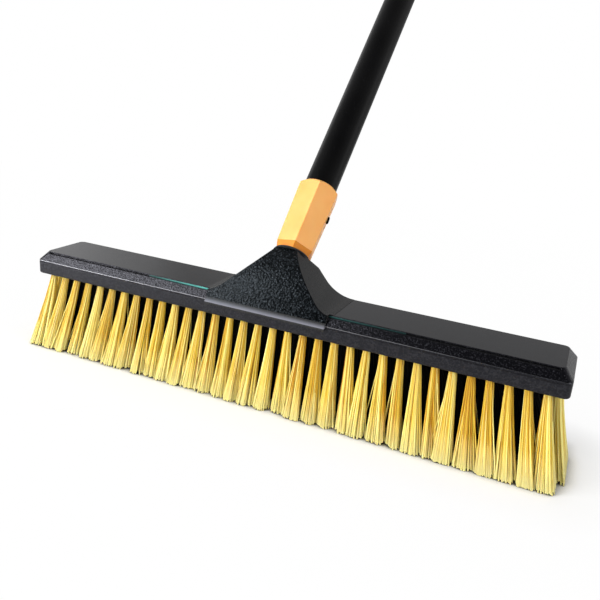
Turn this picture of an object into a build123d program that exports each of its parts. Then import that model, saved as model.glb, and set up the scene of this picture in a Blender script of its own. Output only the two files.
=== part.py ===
"""Wide floor broom: a chamfered two-piece block with five rows of tufts, a flared yoke,
and a steel handle that screws into the yoke at 45 degrees.

Millimetres. X runs along the block, +Y points behind the broom where the handle leans,
Z is up. The origin is on the floor, under the middle of the block."""

import os
from math import atan2, ceil, cos, radians, sin, sqrt

from build123d import *

# Block
block_length = 457.0
block_width = 58.4
base_height = 10.6
cap_land = 1.5
cap_chamfer_drop = 7.6
cap_chamfer_run = 6.5
cap_wall = 2.6
corner_radius = 5.0
cap_corner_radius = 4.0
least_corner_radius = 0.4
edge_round = 1.4
base_edge_round = 1.6
seam_chamfer = 0.4
rib_thickness = 1.6
rib_clearance = 0.15

# Tufts
trim_length = 66.3
tuft_pitch = 13.0
tuft_end_margin = 14.0
outer_row_offset = 22.5
inner_row_offset = 7.5
tuft_root_diameter = 6.2
tuft_tip_diameter = 12.4
tuft_depth = 8.2
tuft_fit = 0.1
outer_row_splay = 13.0
inner_row_splay = 3.5
end_splay = 12.0
end_tuft_offset = 5.0
staple_length = 8.4
staple_thickness = 0.5
staple_height = 1.8
staple_cover = 1.2

# Accent groove and inlays under the front edge of the top face
groove_height = 1.4
groove_depth = 1.2
groove_cover = 0.5
groove_end_margin = 3.0
inlay_length = 60.0
inlay_thin_end = 0.5

# Yoke
handle_lean = 45.0
seat_back = 16.0
seat_rise = 27.3
neck_radius = 16.0
neck_flat = 13.0
neck_floor = 0.5
yoke_half_width = 52.0
yoke_edge = 0.15
yoke_top_x = 9.0
yoke_top_rise = 36.5
front_shoulder_x = 42.0
front_shoulder_rise = 5.5
back_shoulder_x = 30.0
back_shoulder_rise = 12.0
lip_proud = 2.4
lip_drop = 3.1
lip_height = 1.9
lip_bevel_run = 2.4
lip_bevel_rise = 3.2
front_bulge = 5.5

# Screwed socket
thread_diameter = 19.0
thread_pitch = 5.08
thread_depth = 1.3
thread_crest = 1.5
thread_root = 2.8
thread_turns = 3
thread_clearance = 0.3
thread_lead = 1.5
thread_runout = 1.0
thread_sink = 0.4
stud_gap = 1.5
bush_diameter = 22.4
bush_floor = 0.8
bush_fit = 0.05

# Ferrule and washer
washer_thickness = 1.2
washer_inset = 0.6
ferrule_length = 67.5
ferrule_flats = 33.5
ferrule_waist_flats = 30.1
ferrule_sides = 6
ferrule_turn = -11.4
ferrule_foot_height = 5.5
ferrule_foot_inset = 1.6
ferrule_crown_inset = 1.0
ferrule_edge_round = 0.6
ferrule_web = 16.0
rivet_height = 42.5
rivet_diameter = 4.0
rivet_head_diameter = 6.2
rivet_head_height = 2.0
rivet_head_round = 0.8
rivet_recess = 0.4
rivet_tail_diameter = 5.4
rivet_tail_length = 2.4
rivet_fit = 0.05

# Handle
tube_diameter = 28.0
tube_wall = 1.2
tube_length = 1200.0
tube_fit = 0.05
grip_length = 130.0
grip_diameter = 33.0
grip_rib_count = 8
grip_rib_pitch = 12.0
grip_rib_width = 4.0
grip_rib_depth = 0.8
grip_end_round = 1.5
cap_plug_length = 22.0
cap_plug_wall = 2.0
cap_collar_height = 6.0
cap_straight = 12.0
cap_tab_thickness = 15.0
hang_hole_diameter = 10.0
hang_hole_rise = 20.0

# Screws
cap_screw_diameter = 4.0
cap_screw_head_diameter = 7.5
cap_screw_head_height = 2.4
cap_screw_bite = 4.2
cap_screws_per_side = 3
cap_screw_first = 78.0
cap_screw_end_inset = 29.0
boss_wall = 2.6
yoke_screw_diameter = 4.5
yoke_screw_head_diameter = 8.0
yoke_screw_head_height = 2.8
yoke_screw_bite = 10.0
yoke_screw_spots = (20.0, 30.0)
insert_wall = 1.4
insert_length = 9.0
screw_fit = 0.25
screw_bite_fit = 0.05
drive_width = 1.2
drive_span = 4.2
drive_depth = 1.4
screw_margin = 1.2

# Heights and edges worked out from the values above
block_bottom = trim_length
seam_height = block_bottom + base_height
chamfer_height = seam_height + cap_land
block_top = chamfer_height + cap_chamfer_drop
top_length = block_length - 2 * cap_chamfer_run
top_width = block_width - 2 * cap_chamfer_run
front_face = -block_width / 2
front_edge = -top_width / 2
back_edge = top_width / 2
ceiling_height = block_top - cap_wall
rib_height = cap_land - rib_clearance
groove_back = front_edge + groove_depth
groove_bottom_z = block_top - groove_cover - groove_height

seat_point = Vector(0, seat_back, block_top + seat_rise)
lean_sin = sin(radians(handle_lean))
lean_cos = cos(radians(handle_lean))
seat_plane = Plane(origin=seat_point, x_dir=(1, 0, 0), z_dir=(0, lean_sin, lean_cos))
handle_section = Plane(origin=seat_point, x_dir=(1, 0, 0), z_dir=(0, -lean_cos, lean_sin))
handle_axis = Axis(seat_point, seat_plane.z_dir)
insert_diameter = yoke_screw_diameter + 2 * insert_wall
neck_length = (seat_rise - neck_radius * lean_sin) / lean_cos - neck_floor
bush_length = neck_length - bush_floor

tuft_count = int((block_length - 2 * tuft_end_margin) // tuft_pitch) + 1
row_half = (tuft_count - 1) * tuft_pitch / 2
hole_top = block_bottom + tuft_depth
staple_bottom = hole_top - staple_cover - staple_height

os.makedirs("parts", exist_ok=True)


def row_roots(offset, first, last):
    """Tuft roots along X at one Y, from tuft number first to tuft number last."""
    return [(n * tuft_pitch - row_half, offset) for n in range(first, last + 1)]


def tip_of(root):
    """Where a tuft meets the floor: fanned towards the block's ends, splayed off its middle line."""
    x, y = root
    splay = outer_row_splay if abs(y) > inner_row_offset else inner_row_splay
    side = (y > 0) - (y < 0)
    return (x * (1 + end_splay / row_half), y + side * splay)


last_tuft = tuft_count - 1
front_roots = row_roots(-outer_row_offset, 0, last_tuft)
back_roots = row_roots(outer_row_offset, 0, last_tuft)
inner_front_roots = row_roots(-inner_row_offset, 1, last_tuft - 1)
inner_back_roots = row_roots(inner_row_offset, 1, last_tuft - 1)
end_x = row_half + end_tuft_offset
left_roots = [(-end_x, -inner_row_offset), (-end_x, inner_row_offset)]
right_roots = [(end_x, -inner_row_offset), (end_x, inner_row_offset)]

cap_screw_step = (block_length / 2 - cap_screw_end_inset - cap_screw_first) / (cap_screws_per_side - 1)
cap_screw_spots = [
    (side * (cap_screw_first + n * cap_screw_step), 0)
    for side in (-1, 1)
    for n in range(cap_screws_per_side)
]
yoke_screw_points = [(side * x, 0) for side in (-1, 1) for x in yoke_screw_spots]


def clear_of_screws(x):
    """Whether a tuft on the middle line keeps a wall between its hole and the screw heads."""
    hole_reach = tuft_root_diameter / 2 + tuft_fit + screw_margin + screw_fit
    cap_reach = hole_reach + cap_screw_head_diameter / 2
    yoke_reach = hole_reach + yoke_screw_head_diameter / 2
    off_cap_screws = all(abs(x - spot) > cap_reach for spot, middle in cap_screw_spots)
    return off_cap_screws and all(abs(x - spot) > yoke_reach for spot, middle in yoke_screw_points)


middle_line = [(n + 0.5) * tuft_pitch - row_half for n in range(last_tuft)]
middle_roots = [(x, 0) for x in middle_line if clear_of_screws(x)]
outer_roots = front_roots + back_roots + left_roots + right_roots
inner_roots = inner_front_roots + middle_roots + inner_back_roots
all_roots = outer_roots + inner_roots


def rounded_block(length, width, radius, inset):
    """The block's outline moved inwards; its corners stay slightly rounded."""
    return RectangleRounded(length - 2 * inset, width - 2 * inset, max(radius - inset, least_corner_radius))


# Lower moulding of the block: the tuft holes open downwards, the rib on top locates the cap
rib_gap = cap_wall + rib_clearance
rib_inner = rib_gap + rib_thickness
with BuildPart() as base_block:
    with BuildSketch(Plane.XY.offset(block_bottom)):
        RectangleRounded(block_length, block_width, corner_radius)
    extrude(amount=base_height)
    fillet(base_block.faces().sort_by(Axis.Z)[0].edges(), base_edge_round)
    chamfer(base_block.faces().sort_by(Axis.Z)[-1].edges(), seam_chamfer)
    with BuildSketch(Plane.XY.offset(seam_height)):
        rounded_block(block_length, block_width, corner_radius, rib_gap)
    extrude(amount=rib_height)
    with BuildSketch(Plane.XY.offset(seam_height)):
        rounded_block(block_length, block_width, corner_radius, rib_inner)
    extrude(amount=rib_height, mode=Mode.SUBTRACT)
    with BuildSketch(Plane.XY.offset(block_bottom)):
        with Locations(*cap_screw_spots):
            Circle(cap_screw_head_diameter / 2 + screw_fit)
    extrude(amount=cap_screw_head_height, mode=Mode.SUBTRACT)
    with BuildSketch(Plane.XY.offset(block_bottom)):
        with Locations(*yoke_screw_points):
            Circle(yoke_screw_head_diameter / 2 + screw_fit)
    extrude(amount=yoke_screw_head_height, mode=Mode.SUBTRACT)
    with BuildSketch(Plane.XY.offset(block_bottom)):
        with Locations(*cap_screw_spots):
            Circle(cap_screw_diameter / 2 + screw_fit)
        with Locations(*yoke_screw_points):
            Circle(yoke_screw_diameter / 2 + screw_fit)
    extrude(amount=base_height, mode=Mode.SUBTRACT)
    with BuildSketch(Plane.XY.offset(block_bottom)):
        with Locations(*all_roots):
            Circle(tuft_root_diameter / 2 + tuft_fit)
    extrude(amount=tuft_depth, mode=Mode.SUBTRACT)
    with BuildSketch(Plane.XY.offset(staple_bottom)):
        with Locations(*all_roots):
            Rectangle(staple_length, staple_thickness)
    extrude(amount=staple_height, mode=Mode.SUBTRACT)
base_block.part.label = "base_block"
export_step(base_block.part, "parts/base_block.step")

# Upper moulding: a chamfered lid, hollow below, with a pillar round every screw
with BuildPart() as top_cap:
    with BuildSketch(Plane.XY.offset(seam_height)):
        RectangleRounded(block_length, block_width, corner_radius)
    extrude(amount=cap_land)
    with BuildSketch(Plane.XY.offset(chamfer_height)):
        RectangleRounded(block_length, block_width, corner_radius)
    with BuildSketch(Plane.XY.offset(block_top)):
        RectangleRounded(top_length, top_width, cap_corner_radius)
    loft(ruled=True)
    land_edges = top_cap.edges().filter_by_position(Axis.Z, chamfer_height, chamfer_height)
    fillet(land_edges, edge_round)
    with BuildSketch(Plane.XY.offset(seam_height)):
        rounded_block(block_length, block_width, corner_radius, cap_wall)
    extrude(amount=cap_land, mode=Mode.SUBTRACT)
    with BuildSketch(Plane.XY.offset(chamfer_height)):
        rounded_block(block_length, block_width, corner_radius, cap_wall)
    with BuildSketch(Plane.XY.offset(ceiling_height)):
        rounded_block(top_length, top_width, cap_corner_radius, cap_wall)
    loft(ruled=True, mode=Mode.SUBTRACT)
    with BuildSketch(Plane.XY.offset(seam_height)):
        with Locations(*cap_screw_spots):
            Circle(cap_screw_diameter / 2 + boss_wall)
        with Locations(*yoke_screw_points):
            Circle(yoke_screw_diameter / 2 + boss_wall)
    extrude(amount=ceiling_height - seam_height)
    with BuildSketch(Plane.XY.offset(seam_height)):
        with Locations(*cap_screw_spots):
            Circle(cap_screw_diameter / 2 + screw_bite_fit)
    extrude(amount=cap_screw_bite, mode=Mode.SUBTRACT)
    with BuildSketch(Plane.XY.offset(seam_height)):
        with Locations(*yoke_screw_points):
            Circle(yoke_screw_diameter / 2 + screw_fit)
    extrude(amount=block_top - seam_height, mode=Mode.SUBTRACT)
    with BuildSketch(Plane.XY.offset(block_top - groove_cover)):
        with Locations((0, groove_back)):
            Rectangle(
                top_length - 2 * groove_end_margin,
                groove_back - front_face,
                align=(Align.CENTER, Align.MAX),
            )
    extrude(amount=-groove_height, mode=Mode.SUBTRACT)
top_cap.part.label = "top_cap"
export_step(top_cap.part, "parts/top_cap.step")

# Accent inlays: two tapered slips in the front groove, level with its mouth beside the yoke, thin outwards
for side, name in ((-1, "accent_inlay_left"), (1, "accent_inlay_right")):
    with BuildPart() as accent_inlay:
        with BuildSketch(Plane.XY.offset(groove_bottom_z)):
            with BuildLine():
                Polyline(
                    (side * yoke_half_width, front_edge),
                    (side * (yoke_half_width + inlay_length), groove_back - inlay_thin_end),
                    (side * (yoke_half_width + inlay_length), groove_back),
                    (side * yoke_half_width, groove_back),
                    close=True,
                )
            make_face()
        extrude(amount=groove_height)
    accent_inlay.part.label = name
    export_step(accent_inlay.part, f"parts/{name}.step")


def tuft_solid(root):
    """One tuft: a straight root in its hole, then a flare down to the trimmed tip on the floor."""
    with BuildPart() as tuft:
        with BuildSketch(Plane.XY.offset(hole_top)):
            with Locations(root):
                Circle(tuft_root_diameter / 2)
        with BuildSketch(Plane.XY.offset(block_bottom)):
            with Locations(root):
                Circle(tuft_root_diameter / 2)
        with BuildSketch(Plane.XY):
            with Locations(tip_of(root)):
                Circle(tuft_tip_diameter / 2)
        loft(ruled=True)
    return tuft.part


def build_tufts(name, roots):
    """A group of tufts in one node, each slotted where its anchor wire crosses the fold."""
    group = [tuft_solid(root) for root in roots]
    with BuildPart() as tufts:
        add(group)
        with BuildSketch(Plane.XY.offset(staple_bottom)):
            with Locations(*roots):
                Rectangle(staple_length, staple_thickness)
        extrude(amount=staple_height, mode=Mode.SUBTRACT)
    tufts.part.label = name
    export_step(tufts.part, f"parts/{name}.step")


build_tufts("front_tufts", front_roots)
build_tufts("back_tufts", back_roots)
build_tufts("left_end_tufts", left_roots)
build_tufts("right_end_tufts", right_roots)
build_tufts("inner_front_tufts", inner_front_roots)
build_tufts("middle_tufts", middle_roots)
build_tufts("inner_back_tufts", inner_back_roots)


def build_staples(name, roots):
    """Flat anchor wires, one across the fold of each tuft, driven into both walls of its hole."""
    with BuildPart() as staples:
        with BuildSketch(Plane.XY.offset(staple_bottom)):
            with Locations(*roots):
                Rectangle(staple_length, staple_thickness)
        extrude(amount=staple_height)
    staples.part.label = name
    export_step(staples.part, f"parts/{name}.step")


build_staples("outer_tuft_staples", outer_roots)
build_staples("inner_tuft_staples", inner_roots)


def web_profile(depth, shoulder_x, shoulder_rise):
    """The web's outline at one depth: straight flanks, then arcs that run out level on the cap."""
    flank_angle = atan2(yoke_top_rise - shoulder_rise, shoulder_x - yoke_top_x)
    run_out = (shoulder_rise - yoke_edge) * sin(flank_angle) / (1 - cos(flank_angle))
    with BuildSketch(Plane.XZ.offset(-depth)) as profile:
        with BuildLine():
            shoulder = (shoulder_x, block_top + shoulder_rise)
            flank = Line((yoke_top_x, block_top + yoke_top_rise), shoulder)
            foot = TangentArc(shoulder, (shoulder_x + run_out, block_top + yoke_edge), tangent=flank % 1)
            Polyline(
                foot @ 1,
                (shoulder_x + run_out, block_top),
                (yoke_half_width, block_top),
                (yoke_half_width, lip_bottom),
                (0, lip_bottom),
                (0, flat_top.Z),
                (yoke_top_x, flat_top.Z),
                flank @ 0,
            )
        make_face()
        mirror(about=Plane.YZ)
    return profile.sketch


# Yoke: a flared web that saddles the cap, with a round neck along the handle
flat_top = seat_point + handle_section.z_dir * neck_flat
flat_clear = flat_top + handle_section.z_dir * block_width
web_back_z = flat_top.Z - (back_edge - flat_top.Y) * lean_sin / lean_cos
lip_face = front_face - lip_proud
lip_bottom = chamfer_height - lip_drop
bevel_top_y = lip_face + lip_bevel_run
bevel_top_z = lip_bottom + lip_height + lip_bevel_rise
web_reach = 2 * yoke_half_width

front_profile = web_profile(lip_face, front_shoulder_x, front_shoulder_rise)
back_profile = web_profile(back_edge, back_shoulder_x, back_shoulder_rise)
with BuildPart() as yoke:
    with BuildSketch(Plane.YZ):
        with BuildLine():
            web_outline = Polyline(
                (bevel_top_y, bevel_top_z),
                (lip_face, lip_bottom + lip_height),
                (lip_face, lip_bottom),
                (front_face, lip_bottom),
                (front_face, chamfer_height),
                (front_edge, block_top),
                (back_edge, block_top),
                (back_edge, web_back_z),
                (flat_top.Y, flat_top.Z),
            )
            SagittaArc(web_outline @ 0, web_outline @ 1, front_bulge)
        make_face()
    extrude(amount=web_reach, both=True)
    loft([front_profile.face(), back_profile.face()], ruled=True, mode=Mode.INTERSECT)
    with BuildSketch(Plane.XY.offset(lip_bottom)):
        with Locations((yoke_half_width, front_edge)):
            Rectangle(web_reach, block_width, align=(Align.MIN, Align.MAX))
        mirror(about=Plane.YZ)
    extrude(amount=block_width, mode=Mode.SUBTRACT)
    with BuildSketch(seat_plane):
        Circle(neck_radius)
    extrude(amount=-neck_length)
    with BuildSketch(Plane.YZ):
        with BuildLine():
            face_cut = SagittaArc((bevel_top_y, bevel_top_z), (flat_top.Y, flat_top.Z), front_bulge)
            Polyline(
                face_cut @ 1,
                (flat_clear.Y, flat_clear.Z),
                (lip_face - block_width, flat_clear.Z),
                (lip_face - block_width, bevel_top_z),
                face_cut @ 0,
            )
        make_face()
    extrude(amount=web_reach, both=True, mode=Mode.SUBTRACT)
    with BuildSketch(seat_plane):
        Circle(bush_diameter / 2 + bush_fit)
    extrude(amount=-bush_length, mode=Mode.SUBTRACT)
    with BuildSketch(Plane.XY.offset(block_top)):
        with Locations(*yoke_screw_points):
            Circle(insert_diameter / 2 + screw_bite_fit)
    extrude(amount=insert_length, mode=Mode.SUBTRACT)
    with BuildSketch(Plane.XY.offset(block_top)):
        with Locations(*yoke_screw_points):
            Circle(yoke_screw_diameter / 2 + screw_fit)
    extrude(amount=yoke_screw_bite + screw_fit, mode=Mode.SUBTRACT)
yoke.part.label = "yoke"
export_step(yoke.part, "parts/yoke.step")


def thread_coil(bottom, turns, gap):
    """A helical ridge round the stud's core, widened by gap where it is to be cut from the bush."""
    start = seat_plane.offset(bottom)
    with BuildPart() as ridge:
        with BuildLine():
            coil = Helix(thread_pitch, thread_pitch * turns, thread_core, start.origin, start.z_dir)
        with BuildSketch(Plane(origin=coil @ 0, x_dir=coil @ 0 - start.origin, z_dir=coil % 0)):
            with BuildLine():
                Polyline(
                    (-thread_sink, -thread_root / 2 - gap),
                    (thread_depth + gap, -thread_crest / 2 - gap),
                    (thread_depth + gap, thread_crest / 2 + gap),
                    (-thread_sink, thread_root / 2 + gap),
                    close=True,
                )
            make_face()
        sweep(path=coil, is_frenet=True)
    return ridge.part


thread_core = thread_diameter / 2 - thread_depth
stud_reach = bush_length - stud_gap
ridge_bottom = thread_lead - stud_reach
groove_half = thread_root / 2 + thread_clearance
turns_below = ceil((bush_length + ridge_bottom + groove_half) / thread_pitch)
turns_above = (groove_half + thread_runout - ridge_bottom) / thread_pitch

# Threaded bush in the neck: a long blank is threaded all through, then faced off to its length
groove_bottom = ridge_bottom - turns_below * thread_pitch
groove_turns = turns_below + turns_above
groove = thread_coil(groove_bottom, groove_turns, thread_clearance)
with BuildPart() as socket_bush:
    with BuildSketch(seat_plane.offset(groove_bottom - thread_pitch)):
        Circle(bush_diameter / 2)
        Circle(thread_core + thread_clearance, mode=Mode.SUBTRACT)
    extrude(amount=(groove_turns + 2) * thread_pitch)
    add(groove, mode=Mode.SUBTRACT)
    with BuildSketch(seat_plane):
        Circle(bush_diameter)
    extrude(amount=-bush_length, mode=Mode.INTERSECT)
socket_bush.part.label = "socket_bush"
export_step(socket_bush.part, "parts/socket_bush.step")

# Rubber washer that the ferrule clamps on the neck
with BuildPart() as neck_washer:
    with BuildSketch(seat_plane):
        Circle(neck_radius - washer_inset)
        Circle(thread_diameter / 2 + thread_clearance, mode=Mode.SUBTRACT)
    extrude(amount=washer_thickness)
neck_washer.part.label = "neck_washer"
export_step(neck_washer.part, "parts/neck_washer.step")


def hexagon(inradius):
    """One cross-section of the ferrule, by its middle-to-flat distance."""
    return RegularPolygon(inradius, ferrule_sides, major_radius=False, rotation=ferrule_turn)


# Hexagonal ferrule, slimmer towards its foot: crowned top, threaded stud below and a socket for the tube
ferrule_foot = seat_plane.offset(washer_thickness)
ferrule_waist = ferrule_foot.offset(ferrule_foot_height)
ferrule_top = washer_thickness + ferrule_length
tube_start = washer_thickness + ferrule_web
ferrule_half = ferrule_flats / 2
waist_half = ferrule_waist_flats / 2
ferrule_draft = (ferrule_half - waist_half) / (ferrule_length - ferrule_foot_height)
rivet_angle = radians(ferrule_turn + 180 / ferrule_sides)
rivet_dir = seat_plane.x_dir * cos(rivet_angle) + seat_plane.y_dir * sin(rivet_angle)
rivet_origin = seat_plane.offset(washer_thickness + rivet_height).origin
rivet_plane = Plane(origin=rivet_origin, x_dir=seat_plane.z_dir, z_dir=rivet_dir)
rivet_seat = waist_half + ferrule_draft * (rivet_height - ferrule_foot_height) - rivet_recess
ridge = thread_coil(ridge_bottom, thread_turns, 0)
with BuildPart() as hex_ferrule:
    with BuildSketch(ferrule_foot):
        hexagon(waist_half - ferrule_foot_inset)
    with BuildSketch(ferrule_waist):
        hexagon(waist_half)
    loft(ruled=True)
    with BuildSketch(ferrule_waist):
        hexagon(waist_half)
    with BuildSketch(seat_plane.offset(ferrule_top)):
        hexagon(ferrule_half)
    loft(ruled=True)
    fillet(hex_ferrule.edges().sort_by(SortBy.LENGTH)[-ferrule_sides:], ferrule_edge_round)
    with BuildSketch(handle_section):
        with BuildLine():
            crown_radius = ferrule_half - ferrule_crown_inset
            Polyline(
                (0, washer_thickness),
                (ferrule_flats, washer_thickness),
                (crown_radius + ferrule_half, ferrule_top - ferrule_half),
                (crown_radius, ferrule_top),
                (0, ferrule_top),
                close=True,
            )
        make_face()
    revolve(axis=handle_axis, mode=Mode.INTERSECT)
    with BuildSketch(seat_plane.offset(ferrule_top)):
        Circle(tube_diameter / 2 + tube_fit)
    extrude(amount=tube_start - ferrule_top, mode=Mode.SUBTRACT)
    with BuildSketch(rivet_plane):
        Circle(rivet_diameter / 2 + rivet_fit)
    extrude(amount=ferrule_flats, mode=Mode.SUBTRACT)
    with BuildSketch(rivet_plane.offset(rivet_seat)):
        Circle(rivet_head_diameter / 2 + rivet_fit)
    extrude(amount=ferrule_half, mode=Mode.SUBTRACT)
    with BuildSketch(ferrule_foot):
        Circle(thread_core)
    extrude(amount=-washer_thickness - stud_reach)
    add(ridge)
hex_ferrule.part.label = "hex_ferrule"
export_step(hex_ferrule.part, "parts/hex_ferrule.step")

# Blind rivet through one wall of the ferrule and the tube: its head sits in a shallow recess on the flat,
# and its set tail bears on the tube's bore
tube_bore = tube_diameter / 2 - tube_wall
tail_face = sqrt(tube_bore**2 - (rivet_tail_diameter / 2) ** 2) - rivet_fit
with BuildPart() as ferrule_rivet:
    with BuildSketch(rivet_plane.offset(tail_face)):
        Circle(rivet_tail_diameter / 2)
    extrude(amount=-rivet_tail_length)
    with BuildSketch(rivet_plane.offset(tail_face)):
        Circle(rivet_diameter / 2)
    extrude(amount=rivet_seat - tail_face)
    with BuildSketch(rivet_plane.offset(rivet_seat)):
        Circle(rivet_head_diameter / 2)
    extrude(amount=rivet_head_height)
    fillet(ferrule_rivet.edges().sort_by(Axis(rivet_origin, rivet_dir))[-1], rivet_head_round)
ferrule_rivet.part.label = "ferrule_rivet"
export_step(ferrule_rivet.part, "parts/ferrule_rivet.step")

# Steel tube
tube_end = tube_start + tube_length
with BuildPart() as handle_tube:
    with BuildSketch(seat_plane.offset(tube_start)):
        Circle(tube_diameter / 2)
        Circle(tube_bore, mode=Mode.SUBTRACT)
    extrude(amount=tube_length)
    with BuildSketch(rivet_plane):
        Circle(rivet_diameter / 2 + rivet_fit)
    extrude(amount=tube_diameter, mode=Mode.SUBTRACT)
handle_tube.part.label = "handle_tube"
export_step(handle_tube.part, "parts/handle_tube.step")

# Grip sleeve with rings moulded into its upper half
with BuildPart() as grip_sleeve:
    with BuildSketch(seat_plane.offset(tube_end)):
        Circle(grip_diameter / 2)
    extrude(amount=-grip_length)
    fillet(grip_sleeve.edges().filter_by(GeomType.CIRCLE), grip_end_round)
    for ring in range(grip_rib_count):
        with BuildSketch(seat_plane.offset(tube_end - grip_rib_pitch * (ring + 1))):
            Circle(grip_diameter / 2)
            Circle(grip_diameter / 2 - grip_rib_depth, mode=Mode.SUBTRACT)
        extrude(amount=-grip_rib_width, mode=Mode.SUBTRACT)
    with BuildSketch(seat_plane.offset(tube_end)):
        Circle(tube_diameter / 2 + tube_fit)
    extrude(amount=-grip_length, mode=Mode.SUBTRACT)
grip_sleeve.part.label = "grip_sleeve"
export_step(grip_sleeve.part, "parts/grip_sleeve.step")

# End cap: a plug in the tube, a collar on its end and a flattened dome with a hanging hole
cap_radius = grip_diameter / 2
plug_radius = tube_bore - tube_fit
with BuildPart() as end_cap:
    with BuildSketch(handle_section):
        with BuildLine():
            dome_base = tube_end + cap_collar_height + cap_straight
            Polyline(
                (0, dome_base + cap_radius),
                (0, tube_end),
                (plug_radius - cap_plug_wall, tube_end),
                (plug_radius - cap_plug_wall, tube_end - cap_plug_length),
                (plug_radius, tube_end - cap_plug_length),
                (plug_radius, tube_end),
                (cap_radius, tube_end),
                (cap_radius, dome_base),
            )
            RadiusArc((0, dome_base + cap_radius), (cap_radius, dome_base), cap_radius)
        make_face()
    revolve(axis=handle_axis)
    with BuildSketch(seat_plane.offset(tube_end + cap_collar_height)):
        Rectangle(2 * cap_radius, 2 * cap_radius)
        Rectangle(cap_tab_thickness, 2 * cap_radius, mode=Mode.SUBTRACT)
    extrude(amount=cap_straight + cap_radius, mode=Mode.SUBTRACT)
    hang_point = seat_plane.offset(tube_end + hang_hole_rise).origin
    with BuildSketch(Plane(origin=hang_point, x_dir=(0, 1, 0), z_dir=(1, 0, 0))):
        Circle(hang_hole_diameter / 2)
    extrude(amount=cap_radius, both=True, mode=Mode.SUBTRACT)
end_cap.part.label = "end_cap"
export_step(end_cap.part, "parts/end_cap.step")


def build_screws(name, spots, diameter, head_diameter, head_height, tip):
    """Screws driven up from below: head flush with the block's underside, cross drive in the head."""
    with BuildPart() as screws:
        with BuildSketch(Plane.XY.offset(block_bottom)):
            with Locations(*spots):
                Circle(head_diameter / 2)
        extrude(amount=head_height)
        with BuildSketch(Plane.XY.offset(block_bottom)):
            with Locations(*spots):
                Circle(diameter / 2)
        extrude(amount=tip - block_bottom)
        with BuildSketch(Plane.XY.offset(block_bottom)):
            with Locations(*spots):
                Rectangle(drive_span, drive_width)
                Rectangle(drive_width, drive_span)
        extrude(amount=drive_depth, mode=Mode.SUBTRACT)
    screws.part.label = name
    export_step(screws.part, f"parts/{name}.step")


build_screws(
    "cap_screws",
    cap_screw_spots,
    cap_screw_diameter,
    cap_screw_head_diameter,
    cap_screw_head_height,
    seam_height + cap_screw_bite,
)
build_screws(
    "yoke_screws",
    yoke_screw_points,
    yoke_screw_diameter,
    yoke_screw_head_diameter,
    yoke_screw_head_height,
    block_top + yoke_screw_bite,
)

# Brass inserts in the yoke's underside that take the yoke screws
with BuildPart() as yoke_inserts:
    with BuildSketch(Plane.XY.offset(block_top)):
        with Locations(*yoke_screw_points):
            Circle(insert_diameter / 2)
        with Locations(*yoke_screw_points):
            Circle(yoke_screw_diameter / 2 + screw_bite_fit, mode=Mode.SUBTRACT)
    extrude(amount=insert_length)
yoke_inserts.part.label = "yoke_inserts"
export_step(yoke_inserts.part, "parts/yoke_inserts.step")
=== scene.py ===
"""Looks of the wide floor broom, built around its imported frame. Metres, +Z up."""

from math import cos, pi, radians, sin, sqrt

import bmesh
import bpy
import numpy as np
from mathutils import Matrix, Vector


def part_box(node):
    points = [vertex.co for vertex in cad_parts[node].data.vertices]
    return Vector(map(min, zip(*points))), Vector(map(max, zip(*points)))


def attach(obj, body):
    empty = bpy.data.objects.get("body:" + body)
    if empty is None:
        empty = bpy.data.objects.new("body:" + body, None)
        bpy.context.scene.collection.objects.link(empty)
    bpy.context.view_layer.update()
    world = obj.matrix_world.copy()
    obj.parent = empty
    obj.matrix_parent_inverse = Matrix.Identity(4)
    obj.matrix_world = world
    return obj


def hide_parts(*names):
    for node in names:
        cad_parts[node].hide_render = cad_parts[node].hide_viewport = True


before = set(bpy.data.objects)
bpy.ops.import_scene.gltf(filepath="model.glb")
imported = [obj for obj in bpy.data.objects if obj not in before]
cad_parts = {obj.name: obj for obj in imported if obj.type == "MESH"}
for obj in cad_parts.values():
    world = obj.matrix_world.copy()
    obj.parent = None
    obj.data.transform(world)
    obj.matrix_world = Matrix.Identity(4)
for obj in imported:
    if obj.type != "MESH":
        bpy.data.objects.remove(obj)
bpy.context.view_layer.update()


# Base block. The lower half of the broom's head: one dark grey polypropylene moulding with a
# fine spark-eroded grain, drilled from below for the tufts.
def new_material(name):
    """An empty procedural material; returns it with its node tree and its Principled shader."""
    made = bpy.data.materials.new(name)
    made.use_nodes = True
    return made, made.node_tree, made.node_tree.nodes["Principled BSDF"]


def put_on(material, *names):
    """Gives CAD nodes a finish in place of the plain one that they came with."""
    for name in names:
        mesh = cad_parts[name].data
        mesh.materials.clear()
        mesh.materials.append(material)


def feed(node, inputs):
    """Links each named input to an output, or sets it where it is given a plain number or colour."""
    for name, source in inputs.items():
        socket = node.inputs[name]
        if isinstance(source, bpy.types.NodeSocket):
            node.id_data.links.new(source, socket)
        elif socket.type == "RGBA":
            socket.default_value = (*source, 1.0)
        else:
            socket.default_value = source


def add_node(tree, kind, inputs, **settings):
    """A shader node with its settings and its inputs."""
    node = tree.nodes.new(kind)
    for name, value in settings.items():
        setattr(node, name, value)
    feed(node, inputs)
    return node


def object_place(tree):
    """Object coordinates of the piece."""
    return tree.nodes.new("ShaderNodeTexCoord").outputs["Object"]


def add_noise(tree, place, scale, detail=2.0):
    """A noise texture; scale is in features per metre."""
    inputs = {"Vector": place, "Scale": scale, "Detail": detail}
    return add_node(tree, "ShaderNodeTexNoise", inputs).outputs["Fac"]


def add_specks(tree, place, scale):
    """A random number per grain of a moulded texture; scale is in grains per metre."""
    cells = add_node(tree, "ShaderNodeTexVoronoi", {"Vector": place, "Scale": scale})
    return add_node(tree, "ShaderNodeSeparateColor", {"Color": cells.outputs["Color"]}).outputs["Red"]


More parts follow.
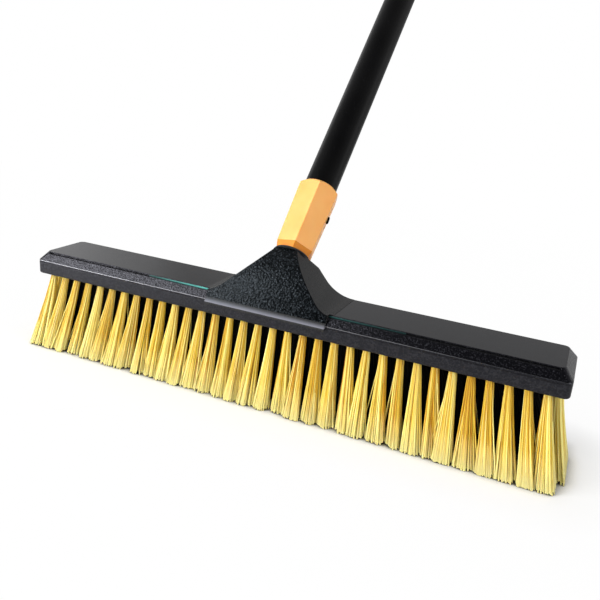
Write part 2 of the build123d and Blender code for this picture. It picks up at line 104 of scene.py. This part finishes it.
def add_ramp(tree, factor, *stops):
    """A colour ramp through the given (place, colour) stops."""
    ramp = add_node(tree, "ShaderNodeValToRGB", {"Fac": factor})
    elements = ramp.color_ramp.elements
    while len(elements) < len(stops):
        elements.new(0.5)
    for element, (place, colour) in zip(elements, stops):
        element.position = place
        element.color = (*colour, 1.0)
    return ramp.outputs["Color"]


def add_bump(tree, height, depth, strength, under=None):
    """A bump of that depth in metres, over another normal where one is given."""
    bump = add_node(tree, "ShaderNodeBump", {"Height": height, "Distance": depth, "Strength": strength})
    if under is not None:
        feed(bump, {"Normal": under})
    return bump.outputs["Normal"]


def add_soft_edges(tree, radius):
    """A normal that rounds the sharp edges of a moulding."""
    return add_node(tree, "ShaderNodeBevel", {"Radius": radius}, samples=6).outputs["Normal"]


skirt_dark = (0.004, 0.004, 0.005)
skirt_light = (0.017, 0.017, 0.019)
skirt_grain_scale = 800.0
skirt_grain_depth = 0.00020
skirt_speck_scale = 1000.0
skirt_edge_round = 0.0006
cool_sheen = (0.86, 0.87, 1.0)
material, tree, shader = new_material("skirt_plastic")
place = object_place(tree)
grain = add_noise(tree, place, skirt_grain_scale, detail=3.0)
speck = add_specks(tree, place, skirt_speck_scale)
skirt_edges = add_soft_edges(tree, skirt_edge_round)
feed(shader, {
    "Base Color": add_ramp(tree, speck, (0.3, skirt_dark), (1.0, skirt_light)),
    "Normal": add_bump(tree, grain, skirt_grain_depth, strength=0.9, under=skirt_edges),
    "Roughness": 0.42,
    "Specular IOR Level": 0.24,
    "Specular Tint": cool_sheen,
})
put_on(material, "base_block")


# Tufts. Drawn polyester filament, folded and driven into the base: yellow round the outside, black in
# the three inner rows. Each tuft is tight in its hole, flares to its trimmed tip and breaks into strands.
filament_thick = 0.00064
filament_sides = 4
filament_cuts = 3
flagged_tip = 0.7
bpy.ops.object.select_all(action="DESELECT")
bpy.ops.mesh.primitive_cylinder_add(
    vertices=filament_sides, radius=filament_thick / 2, depth=1.0, end_fill_type="TRIFAN"
)
filament = bpy.context.object
bpy.ops.object.mode_set(mode="EDIT")
bpy.ops.mesh.select_all(action="DESELECT")
filament_edges = bmesh.from_edit_mesh(filament.data)
for edge in filament_edges.edges:
    edge.select_set(abs(edge.verts[0].co.z - edge.verts[1].co.z) > 0.5)
bmesh.update_edit_mesh(filament.data)
bpy.ops.mesh.subdivide(number_cuts=filament_cuts)
bpy.ops.mesh.select_all(action="SELECT")
bpy.ops.mesh.quads_convert_to_tris()
bpy.ops.object.mode_set(mode="OBJECT")
filament.data.transform(Matrix.Translation((0, 0, 0.5)))
filament_verts = np.array([v.co for v in filament.data.vertices])
filament_faces = np.array([p.vertices for p in filament.data.polygons])
along_faces = np.ptp(filament_verts[filament_faces][:, :, 2], axis=1) > 0
bpy.data.objects.remove(filament)

tuft_pitch = 0.013
tuft_count = 34
row_half = (tuft_count - 1) * tuft_pitch / 2
outer_row = 0.0225
inner_row = 0.0075
outer_splay = 0.0130
corner_splay = 0.0085
inner_splay = 0.0035
end_splay = 0.0120
end_offset = 0.0050
root_radius = 0.0026
tip_radius = 0.0063
end_stretch = (1.55, 2.1)
inner_stretch = (1.4, 1)
outer_stretch = (1.12, 1)
tip_scatter_along = 0.0011
tip_scatter_across = 0.0012
thinnest_tuft = 0.88
thickest_tuft = 1.08
strand_count = 5
strand_scatter = 0.0010
stray_share = 0.035
stray_wander = 0.0042
neat_wander = 0.00055
trim_scatter = 0.0015
middle_tone = 0.48
# The end tufts get a paler tone as painted light, and the other tufts a darker one towards the right as
# painted shade.
end_painted_light = 0.15
stray_tone = 0.3
painted_shade_rightward = 0.4
tuft_tone_scatter = 0.04
filament_tone_scatter = 0.23
root_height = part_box("front_tufts")[1].z
hole_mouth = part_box("base_block")[0].z


def tuft_roots(y, first, last):
    """Root places of one row, from tuft number first to tuft number last."""
    return [(n * tuft_pitch - row_half, y) for n in range(first, last + 1)]


def fan_out(roots, per_tuft, dice):
    """For each filament of some tufts: where its root and its tip lie, its tone and how short it is cut."""
    golden = pi * (3 - sqrt(5))
    spots, leans, tones, tips = [], [], [], []
    for root_x, root_y in roots:
        at_end = abs(root_x) > row_half - tuft_pitch / 2
        inside = abs(root_y) <= inner_row
        splay = inner_splay if inside else corner_splay if at_end else outer_splay
        stretch = end_stretch if at_end else inner_stretch if inside else outer_stretch
        tip_x = root_x * (1 + end_splay / row_half) + dice.normal(0, tip_scatter_along)
        tip_y = root_y + splay * np.sign(root_y) + dice.normal(0, tip_scatter_across)
        spread = tip_radius * dice.uniform(thinnest_tuft, thickest_tuft) * np.array(stretch)
        turn = dice.uniform(0, 2 * pi)
        strand_shift = dice.normal(0, strand_scatter, (strand_count, 2))
        # Painted light on the end tufts; painted shade that grows towards the right on the others.
        tuft_tone = end_painted_light if at_end else dice.normal(0, tuft_tone_scatter) - painted_shade_rightward * root_x
        for n in range(per_tuft):
            ring = sqrt((n + 0.5) / per_tuft)
            angle = n * golden + turn
            out = np.array((cos(angle), sin(angle))) * ring
            strand = int(((angle - turn) % (2 * pi)) / (2 * pi) * strand_count)
            stray = dice.rand() < stray_share
            wander = dice.normal(0, stray_wander if stray else neat_wander, 2)
            spots.append((root_x + out[0] * root_radius, root_y + out[1] * root_radius))
            leans.append((tip_x, tip_y) + out * spread + strand_shift[strand] * ring + wander)
            own_tone = dice.normal(0, filament_tone_scatter) + stray_tone * stray
            tones.append(np.clip(middle_tone + tuft_tone + own_tone, 0, 1))
            tips.append(abs(dice.normal(0, trim_scatter)))
    return np.array(spots), np.array(leans), np.array(tones), np.array(tips)


def tuft_row(name, node, roots, per_tuft, fullness, seed):
    """Joins the filaments of a group of tufts into one piece; fullness below 1 fans out early."""
    spots, leans, tones, tips = fan_out(roots, per_tuft, np.random.RandomState(seed))
    low = np.array((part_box(node)[0].x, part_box("front_tufts")[0].y)) + filament_thick
    high = np.array((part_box(node)[1].x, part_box("back_tufts")[1].y)) - filament_thick
    leans = np.clip(leans, low, high)
    mouth_share = (root_height - hole_mouth) / root_height
    first_cut = 1 / (filament_cuts + 1)
    along = np.interp(filament_verts[:, 2], (0, first_cut, 1), (0, mouth_share, 1))
    height = root_height + along[None, :] * (tips - root_height)[:, None]
    free = np.clip((hole_mouth - height) / hole_mouth, 0, 1)
    flare = free**fullness
    width = 1 + flagged_tip * free**2
    co = np.empty((len(spots), len(along), 3))
    for axis in (0, 1):
        lean = flare * (leans - spots)[:, axis, None]
        co[..., axis] = filament_verts[None, :, axis] * width + spots[:, axis, None] + lean
    co[..., 2] = height
    step = np.arange(len(spots))[:, None, None] * len(along)
    mesh = bpy.data.meshes.new(name)
    mesh.from_pydata(co.reshape(-1, 3).tolist(), [], (filament_faces[None] + step).reshape(-1, 3).tolist())
    tone = mesh.attributes.new("tone", "FLOAT", "POINT")
    tone.data.foreach_set("value", np.repeat(tones, len(along)).astype(np.float32))
    run = mesh.attributes.new("run", "FLOAT", "POINT")
    run.data.foreach_set("value", free.reshape(-1).astype(np.float32))
    piece = bpy.data.objects.new(name, mesh)
    bpy.context.scene.collection.objects.link(piece)
    bpy.ops.object.select_all(action="DESELECT")
    bpy.context.view_layer.objects.active = piece
    piece.select_set(True)
    bpy.ops.object.mode_set(mode="EDIT")
    bpy.ops.mesh.select_all(action="SELECT")
    bpy.ops.mesh.normals_make_consistent(inside=False)
    bpy.ops.object.mode_set(mode="OBJECT")
    mesh.polygons.foreach_set("use_smooth", np.tile(along_faces, len(spots)))
    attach(piece, "broom_head")
    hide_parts(node)
    return piece


def read_attribute(tree, name):
    """A number stored on the piece's own points."""
    return add_node(tree, "ShaderNodeAttribute", {}, attribute_name=name).outputs["Fac"]


def mix_colours(tree, factor, first, second):
    """Blends two colours by a factor."""
    inputs = {"Factor": factor, "A": first, "B": second}
    return add_node(tree, "ShaderNodeMix", inputs, data_type="RGBA").outputs["Result"]


black = (0.0, 0.0, 0.0)
white = (1.0, 1.0, 1.0)
filament_amber = (0.44, 0.19, 0.005)
filament_gold = (0.76, 0.51, 0.048)
filament_lemon = (1.0, 0.88, 0.30)
filament_cream = (1.0, 0.89, 0.38)
yellow_bristle, tree, shader = new_material("yellow_filament")
body_colour = add_ramp(
    tree,
    read_attribute(tree, "tone"),
    (0.05, filament_amber),
    (0.45, filament_gold),
    (0.85, filament_lemon),
)
run = read_attribute(tree, "run")
# Painted shade: darker amber near the roots, under the block. The tips are paler where they split, and are
# also lightened there as painted light.
root_painted_shade = add_ramp(tree, run, (0.0, (0.25,) * 3), (0.4, black))
tip_pale_and_lit = add_ramp(tree, run, (0.62, black), (0.86, (0.45,) * 3), (1.0, white))
shaded = mix_colours(tree, root_painted_shade, body_colour, filament_amber)
feed(shader, {
    "Base Color": mix_colours(tree, tip_pale_and_lit, shaded, filament_cream),
    "Roughness": 0.36,
    "Specular IOR Level": 0.30,
    "Subsurface Weight": 0.15,
    "Subsurface Radius": (0.002, 0.001, 0.0003),
    "Subsurface Scale": 1.0,
})

filament_soot = (0.001, 0.001, 0.001)
filament_char = (0.004, 0.004, 0.0042)
black_bristle, tree, shader = new_material("black_filament")
feed(shader, {
    "Base Color": add_ramp(tree, read_attribute(tree, "tone"), (0.2, filament_soot), (0.9, filament_char)),
    "Roughness": 0.6,
    "Specular IOR Level": 0.12,
})

yellow_per_tuft = 140
end_per_tuft = 210
black_per_tuft = 130
yellow_fullness = 1.1
black_fullness = 0.25
last_tuft = tuft_count - 1
end_x = row_half + end_offset
middle_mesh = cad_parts["middle_tufts"].data
middle_steps = {round(v.co.x / tuft_pitch) for v in middle_mesh.vertices if v.co.z > hole_mouth}
middle_roots = [(step * tuft_pitch, 0.0) for step in sorted(middle_steps)]
for name, node, roots, per_tuft, seed in (
    ("front_filaments", "front_tufts", tuft_roots(-outer_row, 0, last_tuft), yellow_per_tuft, 11),
    ("back_filaments", "back_tufts", tuft_roots(outer_row, 0, last_tuft), yellow_per_tuft, 12),
    ("left_end_filaments", "left_end_tufts", [(-end_x, -inner_row), (-end_x, inner_row)], end_per_tuft, 13),
    ("right_end_filaments", "right_end_tufts", [(end_x, -inner_row), (end_x, inner_row)], end_per_tuft, 14),
):
    row = tuft_row(name, node, roots, per_tuft, yellow_fullness, seed)
    row.data.materials.append(yellow_bristle)
for name, node, roots, seed in (
    ("inner_front_filaments", "inner_front_tufts", tuft_roots(-inner_row, 1, last_tuft - 1), 15),
    ("inner_back_filaments", "inner_back_tufts", tuft_roots(inner_row, 1, last_tuft - 1), 16),
    ("middle_filaments", "middle_tufts", middle_roots, 17),
):
    row = tuft_row(name, node, roots, black_per_tuft, black_fullness, seed)
    row.data.materials.append(black_bristle)


# Anchor wires and screws. Flattened galvanised wire holds each folded tuft; zinc-plated screws with
# a cross drive come up from below.
steel_bright = (0.62, 0.62, 0.63)
steel_dull = (0.42, 0.42, 0.43)
bloom_scale = 900.0
bloom_depth = 0.00003
material, tree, shader = new_material("zinc_steel")
bloom = add_noise(tree, object_place(tree), bloom_scale, detail=4.0)
feed(shader, {
    "Base Color": add_ramp(tree, bloom, (0.3, steel_dull), (0.7, steel_bright)),
    "Normal": add_bump(tree, bloom, bloom_depth, strength=0.4),
    "Metallic": 1.0,
    "Roughness": 0.36,
})
put_on(material, "outer_tuft_staples", "inner_tuft_staples", "cap_screws", "yoke_screws")


# Top cap. The upper moulding of the head, screwed to the base from below: a smooth satin top and four
# chamfers with a pebbled grain that the mould leaves. The pale seam edge is a painted highlight that fades
# towards the right end.
def object_normal(tree):
    """Which way the piece's surface faces, in its own axes."""
    return tree.nodes.new("ShaderNodeTexCoord").outputs["Normal"]


def split_axes(tree, vector):
    """The X, Y and Z of a vector."""
    return add_node(tree, "ShaderNodeSeparateXYZ", {"Vector": vector}).outputs


def add_range(tree, value, start, stop, low=0.0, high=1.0):
    """Goes from low to high, and no further, while a number goes from start to stop."""
    inputs = {"Value": value, "From Min": start, "From Max": stop, "To Min": low, "To Max": high}
    return add_node(tree, "ShaderNodeMapRange", inputs).outputs["Result"]


def add_math(tree, operation, first, second, clamp=False):
    """One sum on two numbers or outputs."""
    inputs = {0: first, 1: second}
    return add_node(tree, "ShaderNodeMath", inputs, operation=operation, use_clamp=clamp).outputs["Value"]


def multiply(tree, first, second):
    """The product of two outputs."""
    return add_math(tree, "MULTIPLY", first, second)


def add_pebbles(tree, place, scale):
    """The height of a rounded, cell-like grain; scale is in cells per metre."""
    inputs = {"Vector": place, "Scale": scale}
    return add_node(tree, "ShaderNodeTexVoronoi", inputs, feature="SMOOTH_F1").outputs["Distance"]


cap_smooth_low = (0.006, 0.006, 0.0065)
cap_smooth_high = (0.020, 0.020, 0.0215)
cap_pebble_low = (0.0012, 0.0012, 0.0018)
cap_pebble_mid = (0.004, 0.004, 0.005)
cap_pebble_glint = (0.06, 0.06, 0.07)
cap_seam_highlight = (0.42, 0.42, 0.44)
cap_edge_round = 0.0006
satin_scale = 1300.0
satin_depth = 0.00010
pebble_scale = 1100.0
pebble_depth = 0.00028
speck_scale = 1500.0
top_facing = (0.80, 0.95)
chamfer_facing = (0.54, 0.62)
seam_facing = (0.21, 0.27, 0.41, 0.47)
grain_span = (-0.10, 0.16)
grain_left = 0.25
seam_highlight_span = (-0.20, 0.18)
seam_highlight_right = 0.06
material, tree, shader = new_material("cap_plastic")
place = object_place(tree)
along_block = split_axes(tree, place)["X"]
upward = split_axes(tree, object_normal(tree))["Z"]
on_top = add_range(tree, upward, *top_facing)
on_chamfer = add_range(tree, upward, *chamfer_facing)
on_seam = add_ramp(tree, upward, *zip(seam_facing, (black, white, white, black)))
grain_and_glint_fade = add_range(tree, along_block, *grain_span, 1.0, grain_left)
# Painted highlight along the seam edge, bright at the left end and fading towards the right.
seam_highlight_fade = add_range(tree, along_block, *seam_highlight_span, 1.0, seam_highlight_right)
satin = add_noise(tree, place, satin_scale)
speck = add_specks(tree, place, speck_scale)
# The pale specks are partly grain and partly painted glints; towards the right end they fade as painted
# shade, together with the grain.
grain_and_glint_colour = add_ramp(tree, speck, (0.5, cap_pebble_low), (0.75, cap_pebble_mid), (1.0, cap_pebble_glint))
pebble_colour = mix_colours(tree, grain_and_glint_fade, cap_pebble_low, grain_and_glint_colour)
smooth_colour = add_ramp(tree, satin, (0.35, cap_smooth_low), (0.65, cap_smooth_high))
grained = mix_colours(tree, on_top, pebble_colour, smooth_colour)
pebbled_share = multiply(tree, add_math(tree, "SUBTRACT", on_chamfer, on_top), grain_and_glint_fade)
pebbles = multiply(tree, add_pebbles(tree, place, pebble_scale), pebbled_share)
top_grain = add_bump(tree, satin, satin_depth, strength=0.5, under=add_soft_edges(tree, cap_edge_round))
feed(shader, {
    "Base Color": mix_colours(tree, multiply(tree, on_seam, seam_highlight_fade), grained, cap_seam_highlight),
    "Normal": add_bump(tree, pebbles, pebble_depth, strength=1.0, under=top_grain),
    "Roughness": add_range(tree, on_seam, 0.0, 1.0, 0.26, 0.20),
    "Specular IOR Level": 0.27,
    "Specular Tint": cool_sheen,
})
put_on(material, "top_cap")


# Accent inlays. Two slim teal slips of moulded plastic, pressed into the groove along the front edge
# of the cap.
teal_lit = (0.10, 0.46, 0.41)
teal_deep = (0.008, 0.085, 0.078)
teal_dim = (0.003, 0.030, 0.029)
inlay_inner = 0.058
inlay_outer = 0.117
inner_share = (inlay_outer - inlay_inner) / (2 * inlay_outer)
material, tree, shader = new_material("teal_inlay")
# Painted light and shade: the slips are painted bright near the left slip's inner end, and dimmer towards
# their outer ends and along the right slip.
painted_light_along = add_range(tree, split_axes(tree, object_place(tree))["X"], -inlay_outer, inlay_outer)
feed(shader, {
    "Base Color": add_ramp(
        tree, painted_light_along, (0.0, teal_dim), (inner_share, teal_lit), (0.5, teal_deep), (0.9, teal_dim)
    ),
    "Roughness": 0.35,
})
put_on(material, "accent_inlay_left", "accent_inlay_right")


# Yoke. A black glass-filled saddle moulding: leather grain on the front, satin on the flanks, and a
# bevelled lip that laps over the front of the head.
def vector_math(tree, operation, *inputs):
    """One sum on vectors; returns the node."""
    return add_node(tree, "ShaderNodeVectorMath", dict(enumerate(inputs)), operation=operation)


yoke_black = (0.0010, 0.0013, 0.0016)
yoke_speck_dim = (0.004, 0.005, 0.006)
yoke_speck_glint = (0.022, 0.026, 0.030)
yoke_edge_shade = (0.0006, 0.0007, 0.0009)
yoke_satin_low = (0.020, 0.020, 0.020)
yoke_satin_high = (0.035, 0.034, 0.034)
yoke_lip_highlight = (0.17, 0.17, 0.20)
lip_back = -0.0291
lip_low = 0.0772
lip_high = 0.0798
lip_margin = 0.0002
leather_scale = 710.0
leather_depth = 0.00055
leather_speck_scale = 1000.0
crumple_scale = 1500.0
crumple_depth = 0.00004
dark_edge_reach = 0.0026
dark_edge_turn = (0.92, 0.99)
dark_edge_grain = 0.15
front_facing = (-0.20, -0.35)
yoke_edge_round = 0.0009
leather_sheen = (0.76, 0.89, 1.0)
front_crown = 1.7
material, tree, shader = new_material("yoke_plastic")
place = object_place(tree)
across, back, up = split_axes(tree, place)
# Painted highlight: the lip's bevel is painted pale grey, palest at its lower edge.
before_cap = add_math(tree, "LESS_THAN", back, lip_back)
above_face = add_math(tree, "GREATER_THAN", up, lip_low - lip_margin)
lip_highlight_slope = add_range(tree, up, lip_high, lip_low)
lip_highlight_share = multiply(tree, multiply(tree, before_cap, above_face), lip_highlight_slope)
forward = add_range(tree, split_axes(tree, object_normal(tree))["Y"], *front_facing)
on_front = add_math(tree, "SUBTRACT", forward, before_cap, clamp=True)
crumple = add_noise(tree, place, crumple_scale, detail=3.0)
speck = add_specks(tree, place, leather_speck_scale)
# The leather specks are partly grain and partly painted glints.
leather_and_glint_colour = add_ramp(tree, speck, (0.45, yoke_black), (0.75, yoke_speck_dim), (1.0, yoke_speck_glint))
surface_normal = tree.nodes.new("ShaderNodeNewGeometry").outputs["Normal"]
# Painted shade: the front is painted near black along its rounded edges.
edge_turn = vector_math(tree, "DOT_PRODUCT", add_soft_edges(tree, dark_edge_reach), surface_normal)
edge_painted_shade = add_ramp(tree, edge_turn.outputs["Value"], *zip(dark_edge_turn, (white, black)))
front_colour = mix_colours(tree, edge_painted_shade, leather_and_glint_colour, yoke_edge_shade)
satin_colour = add_ramp(tree, crumple, (0.35, yoke_satin_low), (0.65, yoke_satin_high))
flank_colour = mix_colours(tree, lip_highlight_share, satin_colour, yoke_lip_highlight)
leather_share = multiply(tree, add_range(tree, edge_painted_shade, 0.0, 1.0, 1.0, dark_edge_grain), on_front)
leather = multiply(tree, add_pebbles(tree, place, leather_scale), leather_share)
yoke_edges = add_soft_edges(tree, yoke_edge_round)
satin_grain = add_bump(tree, crumple, crumple_depth, strength=0.5, under=yoke_edges)
crown = add_math(tree, "MULTIPLY", add_math(tree, "POWER", across, 2.0), -front_crown)
crowned = add_bump(tree, crown, 1.0, strength=1.0, under=satin_grain)
leathered = add_bump(tree, leather, leather_depth, strength=1.0, under=crowned)
yoke_normal = add_node(
    tree,
    "ShaderNodeMix",
    {"Factor": on_front, "A": satin_grain, "B": leathered},
    data_type="VECTOR",
)
feed(shader, {
    "Base Color": mix_colours(tree, on_front, flank_colour, front_colour),
    "Normal": yoke_normal.outputs["Result"],
    "Roughness": 0.26,
    "Specular IOR Level": 0.13,
    "Specular Tint": leather_sheen,
})
put_on(material, "yoke")


# Yoke inserts. Four turned brass sleeves, pressed into the underside of the yoke; the screws that hold
# it on the head run into them from below.
brass_light = (0.78, 0.56, 0.24)
brass_dark = (0.58, 0.38, 0.13)
tarnish_scale = 700.0
material, tree, shader = new_material("turned_brass")
tarnish = add_noise(tree, object_place(tree), tarnish_scale, detail=4.0)
feed(shader, {
    "Base Color": add_ramp(tree, tarnish, (0.3, brass_dark), (0.7, brass_light)),
    "Metallic": 1.0,
    "Roughness": 0.30,
})
put_on(material, "yoke_inserts")


# Socket bush and washer. A dark nylon bush with the handle's thread, and the rubber washer that the
# ferrule clamps on the neck.
nylon_grey = (0.05, 0.05, 0.054)
nylon_pale = (0.085, 0.085, 0.09)
cloud_scale = 400.0
material, tree, shader = new_material("bush_nylon")
cloud = add_noise(tree, object_place(tree), cloud_scale, detail=3.0)
feed(shader, {
    "Base Color": add_ramp(tree, cloud, (0.3, nylon_grey), (0.7, nylon_pale)),
    "Roughness": 0.45,
})
put_on(material, "socket_bush")

rubber_black = (0.008, 0.008, 0.008)
rubber_dusty = (0.022, 0.022, 0.022)
dust_scale = 900.0
dust_depth = 0.00004
material, tree, shader = new_material("washer_rubber")
dust = add_noise(tree, object_place(tree), dust_scale, detail=4.0)
feed(shader, {
    "Base Color": add_ramp(tree, dust, (0.4, rubber_black), (0.75, rubber_dusty)),
    "Normal": add_bump(tree, dust, dust_depth, strength=0.5),
    "Roughness": 0.7,
})
put_on(material, "neck_washer")


# Ferrule and rivet. A hexagonal yellow-orange moulding that carries the tube above and the threaded
# stud below; a black steel rivet through its right flat holds the tube.
ferrule_deep = (0.98, 0.44, 0.13)
ferrule_bright = (1.0, 0.49, 0.16)
ferrule_foot_shade = (0.64, 0.21, 0.008)
ferrule_edge_round = 0.0008
swirl_scale = 60.0
skin_scale = 2400.0
skin_depth = 0.00002
foot_facing = (0.08, 0.16)
down_handle = (0, -sqrt(0.5), -sqrt(0.5))
material, tree, shader = new_material("ferrule_plastic")
place = object_place(tree)
swirl = add_noise(tree, place, swirl_scale, detail=3.0)
skin = add_noise(tree, place, skin_scale)
# Painted shade: the downward-facing foot bevel is painted a darker, deeper orange.
towards_foot = vector_math(tree, "DOT_PRODUCT", object_normal(tree), down_handle)
foot_painted_shade = add_ramp(tree, towards_foot.outputs["Value"], *zip(foot_facing, (black, white)))
flats = add_ramp(tree, swirl, (0.3, ferrule_deep), (0.7, ferrule_bright))
ferrule_edges = add_soft_edges(tree, ferrule_edge_round)
feed(shader, {
    "Base Color": mix_colours(tree, foot_painted_shade, flats, ferrule_foot_shade),
    "Normal": add_bump(tree, skin, skin_depth, strength=0.4, under=ferrule_edges),
    "Roughness": 0.38,
    "Specular IOR Level": 0.15,
    "Subsurface Weight": 0.2,
    "Subsurface Radius": (0.004, 0.002, 0.0006),
    "Subsurface Scale": 1.0,
})
put_on(material, "hex_ferrule")

rivet_black = (0.003, 0.003, 0.003)
rivet_rubbed = (0.007, 0.007, 0.007)
rub_scale = 1200.0
material, tree, shader = new_material("rivet_steel")
rub = add_noise(tree, object_place(tree), rub_scale, detail=3.0)
feed(shader, {
    "Base Color": add_ramp(tree, rub, (0.4, rivet_black), (0.8, rivet_rubbed)),
    "Roughness": 0.6,
    "Specular IOR Level": 0.03,
})
put_on(material, "ferrule_rivet")


# Handle tube. Thin welded steel tube in a satin black powder coat with a slight orange peel, pushed
# into the ferrule's socket.
coat_black = (0.0014, 0.0014, 0.0016)
coat_lift = (0.0028, 0.0028, 0.003)
peel_scale = 1100.0
peel_depth = 0.00001
patch_scale = 25.0
material, tree, shader = new_material("powder_coat")
place = object_place(tree)
peel = add_noise(tree, place, peel_scale)
patch = add_noise(tree, place, patch_scale, detail=3.0)
feed(shader, {
    "Base Color": add_ramp(tree, patch, (0.35, coat_black), (0.7, coat_lift)),
    "Normal": add_bump(tree, peel, peel_depth, strength=0.4),
    "Roughness": 0.34,
    "Specular IOR Level": 0.10,
})
put_on(material, "handle_tube")


# Grip and end cap. A ringed rubber sleeve slid over the upper end, and a moulded plug with a flat tab
# and a hanging hole.
grip_black = (0.012, 0.012, 0.0125)
grip_grey = (0.026, 0.026, 0.027)
stipple_scale = 1300.0
stipple_depth = 0.00005
material, tree, shader = new_material("grip_rubber")
stipple = add_noise(tree, object_place(tree), stipple_scale, detail=3.0)
feed(shader, {
    "Base Color": add_ramp(tree, stipple, (0.35, grip_black), (0.75, grip_grey)),
    "Normal": add_bump(tree, stipple, stipple_depth, strength=0.6),
    "Roughness": 0.62,
})
put_on(material, "grip_sleeve", "end_cap")


# Floor. A wide sheet of pale paper that is white where it lies open, and keeps the broom's shadow; the dark
# line under the tips is a painted contact shadow.
floor_size = 40.0
floor_pale = (0.94, 0.94, 0.94)
contact_dark = (0.03, 0.03, 0.02)
contact_reach = 0.012
contact_falloff = 3.0
tip_reach = (0.229, 0.036, 0)
bpy.ops.object.select_all(action="DESELECT")
bpy.ops.mesh.primitive_plane_add(size=floor_size, location=(0, 0, 0))
floor = bpy.context.object
floor.name = "floor"
material, tree, shader = new_material("floor_paper")
seen = tree.nodes.new("ShaderNodeLightPath").outputs["Is Camera Ray"]
# Painted shadow: for the camera, the paper is darkened where the bristles stand close.
nearness = add_node(tree, "ShaderNodeAmbientOcclusion", {"Distance": contact_reach}, samples=8).outputs["AO"]
contact_shade = add_ramp(tree, nearness, (0.30, contact_dark), (0.85, floor_pale))
feed(shader, {
    "Base Color": mix_colours(tree, seen, floor_pale, contact_shade),
    "Roughness": 0.9,
})
unsigned = vector_math(tree, "ABSOLUTE", object_place(tree)).outputs["Vector"]
outside = vector_math(tree, "SUBTRACT", unsigned, tip_reach).outputs["Vector"]
beyond = vector_math(tree, "MAXIMUM", outside).outputs["Vector"]
far_off = add_ramp(
    tree,
    vector_math(tree, "LENGTH", beyond).outputs["Value"],
    (0.0, (0.05,) * 3),
    (0.015, (0.60,) * 3),
    (0.05, (0.94,) * 3),
    (0.20, (0.98,) * 3),
    (1.0, white),
)
clear_floor = multiply(tree, far_off, add_math(tree, "POWER", nearness, contact_falloff))
white_paper = tree.nodes.new("ShaderNodeEmission").outputs["Emission"]
paper = add_node(
    tree,
    "ShaderNodeMixShader",
    {0: multiply(tree, seen, clear_floor), 1: shader.outputs["BSDF"], 2: white_paper},
)
feed(tree.nodes["Material Output"], {"Surface": paper.outputs["Shader"]})
floor.data.materials.append(material)


# Light and camera. A white room whose mirrored light varies from front to back, soft lamps mostly from
# the left and the front, and the camera at the photograph's place.
room_light = 0.34
world = bpy.data.worlds.new("studio")
bpy.context.scene.world = world
world.use_nodes = True
tree = world.node_tree
heading = split_axes(tree, tree.nodes.new("ShaderNodeTexCoord").outputs["Generated"])["Y"]
backdrop_light = add_ramp(
    tree,
    add_range(tree, heading, -1.0, 1.0),
    (0.40, (0.10,) * 3),
    (0.75, (0.60,) * 3),
    (0.855, (0.85,) * 3),
    (0.880, (0.26,) * 3),
    (0.900, (0.24,) * 3),
    (0.930, (0.54,) * 3),
    (0.970, (0.42,) * 3),
)
ray = tree.nodes.new("ShaderNodeLightPath").outputs
mirrored = add_node(
    tree, "ShaderNodeMix", {"Factor": ray["Is Glossy Ray"], "A": room_light, "B": backdrop_light}
)
white_seen = add_math(tree, "MAXIMUM", ray["Is Camera Ray"], ray["Is Transmission Ray"])
sky = add_node(tree, "ShaderNodeMix", {"Factor": white_seen, "A": mirrored.outputs["Result"], "B": 1.0})
feed(tree.nodes["Background"], {"Color": white, "Strength": sky.outputs["Result"]})


def soft_light(name, place, aim, size, power):
    """A rectangular soft lamp at a place, turned towards a point; returns its object."""
    lamp = bpy.data.lights.new(name, "AREA")
    lamp.shape = "RECTANGLE"
    lamp.size, lamp.size_y = size
    lamp.energy = power
    holder = bpy.data.objects.new(name, lamp)
    bpy.context.scene.collection.objects.link(holder)
    turn = (Vector(aim) - Vector(place)).to_track_quat("-Z", "Y").to_matrix().to_4x4()
    holder.matrix_world = Matrix.Translation(place) @ turn
    return holder


soft_light("key", place=(-1.45, -1.05, 1.35), aim=(0, 0, 0.08), size=(1.1, 1.1), power=38.0)
soft_light("low_left", place=(-1.25, -1.15, 0.14), aim=(0, 0, 0.08), size=(0.7, 0.22), power=16.0)
front_lamp = soft_light("front", place=(-0.5, -1.85, 0.45), aim=(0, 0, 0.05), size=(0.9, 0.4), power=11.0)
front_lamp.visible_glossy = False
soft_light("front_right", place=(1.8, -0.5, 0.85), aim=(0, 0, 0.1), size=(0.7, 0.7), power=13.0)
soft_light("back_left", place=(-1.9, 1.6, 0.85), aim=(0, 0, 0.08), size=(1.2, 0.6), power=1.0)
soft_light("right", place=(1.7, 1.4, 0.5), aim=(0, 0.1, 0.2), size=(0.6, 1.2), power=1.5)

view_azimuth = radians(22.51)
view_elevation = radians(18.82)
view_roll = radians(4.92)
view_place = (0.21558, -0.47738, 0.26021)
image_width = 600.0
focal_pixels = 680.0
lens = bpy.data.cameras.new("photo_camera")
lens.sensor_width = 36.0
lens.lens = lens.sensor_width * focal_pixels / image_width
lens.clip_start = 0.01
camera = bpy.data.objects.new("photo_camera", lens)
bpy.context.scene.collection.objects.link(camera)
camera.matrix_world = (
    Matrix.Translation(view_place)
    @ Matrix.Rotation(view_azimuth, 4, "Z")
    @ Matrix.Rotation(pi / 2 - view_elevation, 4, "X")
    @ Matrix.Rotation(view_roll, 4, "Z")
)
bpy.context.scene.camera = camera
bpy.context.scene.view_settings.view_transform = "Standard"
